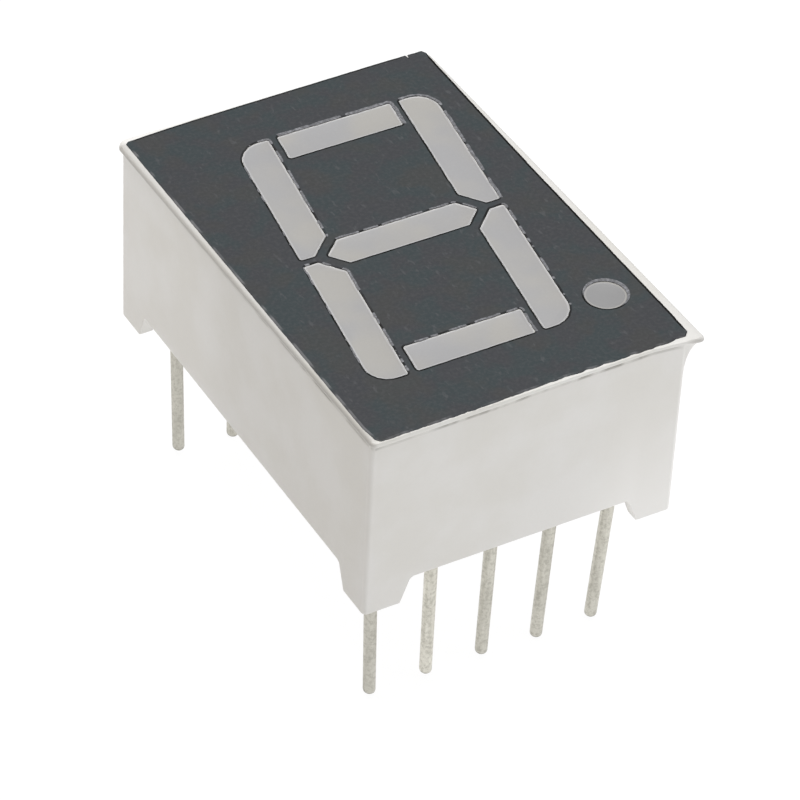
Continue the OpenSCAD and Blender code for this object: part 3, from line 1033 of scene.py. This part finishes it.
def turned_pin(sides=24):
    """A pin turned round its own axis from its profile: (radius, height, bare steel)."""
    low, high = (corner.z for corner in box_mm("pin_1"))
    board = box_mm("circuit_board")[0].z
    collar = board - COLLAR_T
    profile = [
        (0.0, low + 0.012, 1), (0.1, low + 0.006, 1), (0.165, low, 1), (0.2, low + 0.02, 0.9),
        (0.232, low + 0.06, 0.4), (PIN_R, low + 0.13, 0.05), (PIN_R, low + 0.3, 0),
        (PIN_R, -0.02, 0), (PIN_R, 0, 0), (WIRE_R, 0.01, 0), (WIRE_R, collar, 0),
        (COLLAR_R - 0.01, collar + 0.01, 0), (COLLAR_R, collar + 0.03, 0), (COLLAR_R, board - 0.005, 0),
        (WIRE_R, board, 0), (WIRE_R, high - 0.09, 0), (WIRE_R - 0.09, high, 0.6), (0.0, high, 1),
    ]
    skin = Skin()
    skin.strips([
        skin.row(circle(ORIGIN, r, sides) if r else [ORIGIN], z, edge) for r, z, edge in profile
    ])
    return bpy.data.objects.new("one_pin", skin.mesh("one_pin"))


# %% [markdown]
# Each tree is built here with named inputs for its sizes. A small helper sets the modifier's
# inputs by their identifiers, evaluates it once, and hands back a plain mesh.

# %% Tree helper
class Tree:
    """A Geometry Nodes tree with named inputs, built by the same kind of calls as a finish."""

    def __init__(self, name, inputs):
        self.tree = bpy.data.node_groups.new(name, "GeometryNodeTree")
        new_socket = self.tree.interface.new_socket
        for key, kind in ({"Geometry": "Geometry"} | inputs).items():
            new_socket(key, in_out="INPUT", socket_type="NodeSocket" + kind)
        new_socket("Geometry", in_out="OUTPUT", socket_type="NodeSocketGeometry")
        self.input = self.tree.nodes.new("NodeGroupInput").outputs
        self.output = self.tree.nodes.new("NodeGroupOutput").inputs

    def node(self, kind, settings, sockets, out=0):
        return add_node(self.tree, kind, settings, sockets, out)

    def sum(self, how, a, b):
        return self.node("ShaderNodeMath", {"operation": how}, {0: a, 1: b})

    def vector(self, x, y, z):
        return self.node("ShaderNodeCombineXYZ", {}, {0: x, 1: y, 2: z})

    def attribute(self, name):
        return self.node("GeometryNodeInputNamedAttribute", {"data_type": "FLOAT"}, {"Name": name})

    def run(self, base, values):
        """Applies the tree to an object and gives the result as a plain mesh."""
        scratch = bpy.data.objects.new("scratch", base)
        bpy.context.scene.collection.objects.link(scratch)
        modifier = scratch.modifiers.new("tree", "NODES")
        modifier.node_group = self.tree
        for item in self.tree.interface.items_tree:
            if item.in_out == "INPUT" and item.name in values:
                modifier[item.identifier] = values[item.name]
        evaluated = scratch.evaluated_get(bpy.context.evaluated_depsgraph_get())
        mesh = bpy.data.meshes.new_from_object(evaluated)
        scratch.modifiers.remove(modifier)
        bpy.data.objects.remove(scratch)
        return mesh


# %% Points for the pins
SHORTER = [0.2, 0.21, 0.19, 0.05, 0.1, 0.08, 0.12, 0.04, 0.0, 0.2]
DULLNESS = [0.7, 0.0, 0.45, 0.5, 0.4, 0.5, 0.5, 0.5, 0.6, 0.7]
TIP_LEAN, TIP_DRIFT = -0.069, -0.15


def pin_points():
    mesh = bpy.data.meshes.new("pin_points")
    mesh.from_pydata([(c.x * MM, c.y * MM, 0) for c in centres], [], [])
    for key, values in (("shorter", [d * MM for d in SHORTER]), ("dull", DULLNESS)):
        mesh.attributes.new(key, "FLOAT", "POINT").data.foreach_set("value", values)
    return mesh


# %% Pins on points
def pins_on_points():
    t = Tree("pins_on_points", {
        "Pin": "Object", "Seal height": "Float", "Tip height": "Float", "Lean": "Float", "Drift": "Float",
        "Seed": "Int", "Metal": "Material",
    })
    turn = t.node("FunctionNodeRandomValue", {"data_type": "FLOAT"}, {
        3: math.tau, "Seed": t.input["Seed"],
    }, 1)
    pins = t.node("GeometryNodeInstanceOnPoints", {}, {
        "Points": t.input["Geometry"],
        "Instance": t.node("GeometryNodeObjectInfo", {}, {"Object": t.input["Pin"]}, "Geometry"),
        "Rotation": t.vector(0.0, 0.0, turn),
    })
    pins = t.node("GeometryNodeRealizeInstances", {}, {0: pins})
    position = t.node("GeometryNodeInputPosition", {}, {})
    place = t.node("ShaderNodeSeparateXYZ", {}, {0: position}).node
    share = t.node("ShaderNodeMapRange", {}, {
        "Value": place.outputs[2], "From Min": t.input["Seal height"], "From Max": t.input["Tip height"],
    })
    push = t.sum("ADD", t.sum("MULTIPLY", place.outputs[0], t.input["Lean"]), t.input["Drift"])
    lift = t.sum("MULTIPLY", t.attribute("shorter"), share)
    pins = t.node("GeometryNodeSetPosition", {}, {
        "Geometry": pins, "Offset": t.vector(t.sum("MULTIPLY", push, share), 0.0, lift),
    })
    pins = t.node("GeometryNodeSetMaterial", {}, {"Geometry": pins, "Material": t.input["Metal"]})
    t.tree.links.new(pins, t.output[0])
    return t


# %% Ten pins
pin_mesh = pins_on_points().run(pin_points(), {
    "Pin": turned_pin(),
    "Seal height": box_mm("back_potting")[0].z * MM,
    "Tip height": box_mm("pin_1")[0].z * MM,
    "Lean": TIP_LEAN,
    "Drift": TIP_DRIFT * MM,
    "Seed": 4,
    "Metal": finishes["tinned_pin"],
})
placed(pin_mesh, "pins", "tinned_pin", *PINS, crease=40)

# %% [markdown]
# ## Greyed edges of the print
#
# Close beside each window, broken pale dashes of the first pass show. They follow the window's
# outline on its right and far sides, with a narrower trace on the left of the two left-hand
# bars. Here and there they run into a thin smear, and round the decimal point into a ring that
# is widest on the same two sides. Each path's points carry how wide the ribbon is and how
# whole, and the tree breaks the ribbon where noise and wholeness are low.

# %% Ribbon sizes
RIBBON, RIBBON_T, RIBBON_STEP = 0.095, 0.003, 0.05
GAP, WANDER = 0.02, 0.03
WIDER = {"a": 0.15, "b": 0.12}
WHOLE = {"a": 0.12, "d": -0.02, "g": 0.02, "b": 0.08, "f": 0.03, "dp": 1.0}
TRACE_W, TRACE_WHOLE = 0.06, -0.03
RING_W, RING_SWELL = 0.07, Vector((0.07, 0.06))
NARROWEST = 0.03


def ribbon_at(name, n):
    """On one side of a window: the ribbon's width, gap to the window, wander and wholeness."""
    if name == "dp":
        return RING_W + n.dot(RING_SWELL), 0.0, 0.0, WHOLE[name]
    if name in "ef" and n.x < -0.8:
        return TRACE_W, GAP, WANDER, TRACE_WHOLE
    width = 0.0 if n.dot(SECOND_PASS) < 0.2 else WIDER.get(name, RIBBON)
    return width, GAP, WANDER, WHOLE.get(name, 0.0)


# %% Paths beside the windows
def thread_paths():
    """Paths beside every window, cut where no ribbon is wanted."""
    bm = bmesh.new()
    wide = bm.verts.layers.float.new("wide")
    whole = bm.verts.layers.float.new("whole")
    for name, window in windows.items():
        loop = stepped(window, RIBBON_STEP)
        last = None
        for i in [*range(len(loop)), 0]:
            p, n = loop[i], outward(loop, i).normalized()
            width, gap, wander, keep = ribbon_at(name, n)
            if width < NARROWEST:
                last = None
                continue
            p = p + n * (gap + width / 2 + wander * waver(p, 3, 2))
            z = TOP + INK_T - RIBBON_T / 2 * width / RIBBON
            here = bm.verts.new((p.x * MM, p.y * MM, z * MM))
            here[wide] = width / RIBBON
            here[whole] = keep
            if last:
                bm.edges.new((last, here))
            last = here
    mesh = bpy.data.meshes.new("thread_paths")
    bm.to_mesh(mesh)
    bm.free()
    return mesh


# %% Ribbons on the paths
def broken_threads():
    t = Tree("broken_threads", {
        "Width": "Float", "Thickness": "Float", "Dash": "Float", "Missing": "Float", "Seed": "Int",
        "Finish": "Material",
    })
    patches = t.node("ShaderNodeTexNoise", {"noise_dimensions": "4D"}, {
        "W": t.input["Seed"], "Scale": t.sum("DIVIDE", 1.0, t.input["Dash"]), "Detail": 1.0,
    })
    kept = t.sum("SUBTRACT", t.sum("ADD", patches, t.attribute("whole")), t.input["Missing"])
    less = {"data_type": "FLOAT", "operation": "LESS_THAN"}
    gone = t.node("FunctionNodeCompare", less, {0: kept, 1: 0.0})
    paths = t.node("GeometryNodeDeleteGeometry", {"domain": "POINT"}, {
        "Geometry": t.input["Geometry"], "Selection": gone,
    })
    paths = t.node("GeometryNodeMeshToCurve", {}, {"Mesh": paths})
    paths = t.node("GeometryNodeSetCurveNormal", {"mode": "Z_UP"}, {"Curve": paths})
    swell = t.node("ShaderNodeMapRange", {}, {"Value": kept, "From Max": 0.05, "To Min": 0.5, "To Max": 1.0})
    paths = t.node("GeometryNodeSetCurveRadius", {}, {
        "Curve": paths, "Radius": t.sum("MULTIPLY", swell, t.attribute("wide")),
    })
    section = t.node("GeometryNodeCurvePrimitiveQuadrilateral", {"mode": "RECTANGLE"}, {
        "Width": t.input["Width"], "Height": t.input["Thickness"],
    })
    ribbons = t.node("GeometryNodeCurveToMesh", {}, {
        "Curve": paths, "Profile Curve": section, "Fill Caps": True,
        "Scale": t.node("GeometryNodeInputRadius", {}, {}),
    })
    ribbons = t.node("GeometryNodeRealizeInstances", {}, {0: ribbons})
    ribbons = t.node("GeometryNodeSetMaterial", {}, {"Geometry": ribbons, "Material": t.input["Finish"]})
    t.tree.links.new(ribbons, t.output[0])
    return t


# %% Ribbons piece
thread_mesh = broken_threads().run(thread_paths(), {
    "Width": RIBBON * MM, "Thickness": RIBBON_T * MM, "Dash": 0.42 * MM, "Missing": 0.48, "Seed": 11,
    "Finish": worn_ink(),
})
placed(thread_mesh, "ink_threads", "face_ink", crease=60)

# %% [markdown]
# ## Floor, light and camera
#
# The display stands on its pins on a plain white floor under a large soft light. A small lamp
# stands at the right and a fainter one at the left, and the sky on the left is dim and warm.
# The floor glows, as a lit table does, so it stays white right up to the pins.

# %% Floor
FLOOR = 0.6


def build_floor():
    mesh = bpy.data.meshes.new("floor")
    z = cad_box[0][2]
    corners = [(-FLOOR, -FLOOR, z), (FLOOR, -FLOOR, z), (FLOOR, FLOOR, z), (-FLOOR, FLOOR, z)]
    mesh.from_pydata(corners, [], [(0, 1, 2, 3)])
    finish = Finish("floor_white")
    finish.set(
        Base_Color=finish.mix(finish.noise(40), (0.08, 0.08, 0.08), (0.09, 0.09, 0.09)),
        Roughness=0.8,
        Emission_Color=(1.0, 1.0, 1.0),
        Emission_Strength=0.95,
    )
    mesh.materials.append(finish.material)
    floor = bpy.data.objects.new("floor", mesh)
    bpy.context.scene.collection.objects.link(floor)


build_floor()
print("floor at", round(cad_box[0][2] / MM, 2), "mm")

# %% Light
def soft_light(name, place, target, size, power):
    data = bpy.data.lights.new(name, "AREA")
    data.shape, data.size, data.energy = "SQUARE", size, power
    light = bpy.data.objects.new(name, data)
    light.location = place
    light.rotation_euler = (Vector(target) - Vector(place)).to_track_quat("-Z", "Y").to_euler()
    bpy.context.scene.collection.objects.link(light)


soft_light("overhead", (0.01, 0.03, 0.3), (0, 0, 0), size=0.22, power=0.68)
soft_light("from_right", (0.06, -0.055, 0.02), (0.002, -0.01, 0), size=0.03, power=0.0079)
soft_light("from_left", (-0.03, 0.026, 0.01), (-0.006, 0.008, 0.003), size=0.012, power=0.0011)

# %% Sky
SKY_STRENGTH = 0.46
SKY_WHITE, SKY_LEFT = (1, 1, 1), (0.25, 0.17, 0.07)
world = bpy.data.worlds.new("studio")
world.use_nodes = True
sky = world.node_tree
background = sky.nodes["Background"].inputs
direction = add_node(sky, "ShaderNodeTexCoord", {}, {}, "Generated")
sideways = add_node(sky, "ShaderNodeSeparateXYZ", {}, {0: direction})
left = add_node(sky, "ShaderNodeMapRange", {}, {"Value": sideways, "From Min": -0.2, "From Max": -0.7})
colour = add_node(sky, "ShaderNodeMix", {"data_type": "RGBA"}, {0: left, 6: SKY_WHITE, 7: SKY_LEFT}, 2)
put(sky, background["Color"], colour)
put(sky, background["Strength"], SKY_STRENGTH)
bpy.context.scene.world = world
bpy.context.scene.view_settings.view_transform = "Standard"
print("sky strength:", SKY_STRENGTH)

# %% Camera
AZIMUTH, ELEVATION, ROLL = math.radians(-31.245), math.radians(40.06), math.radians(3.04)
DISTANCE = 170.14 * MM
AIM = Vector((-0.721, -1.857, 2.1)) * MM
LENS, SENSOR = 208.9, 36

back = Vector((
    math.sin(AZIMUTH) * math.cos(ELEVATION), -math.cos(AZIMUTH) * math.cos(ELEVATION), math.sin(ELEVATION),
))
across = Vector((0, 0, 1)).cross(back).normalized()
up = back.cross(across)
rolled_across = across * math.cos(ROLL) + up * math.sin(ROLL)
rolled_up = up * math.cos(ROLL) - across * math.sin(ROLL)
turned = Matrix((rolled_across, rolled_up, back)).transposed().to_4x4()
camera_data = bpy.data.cameras.new("camera")
camera_data.lens, camera_data.sensor_width = LENS, SENSOR
camera_data.clip_start, camera_data.clip_end = 0.01, 5
camera = bpy.data.objects.new("camera", camera_data)
camera.matrix_world = Matrix.Translation(AIM + back * DISTANCE) @ turned
bpy.context.scene.collection.objects.link(camera)
bpy.context.scene.camera = camera
print("camera distance:", round(DISTANCE / MM, 1), "mm, lens:", LENS, "mm")
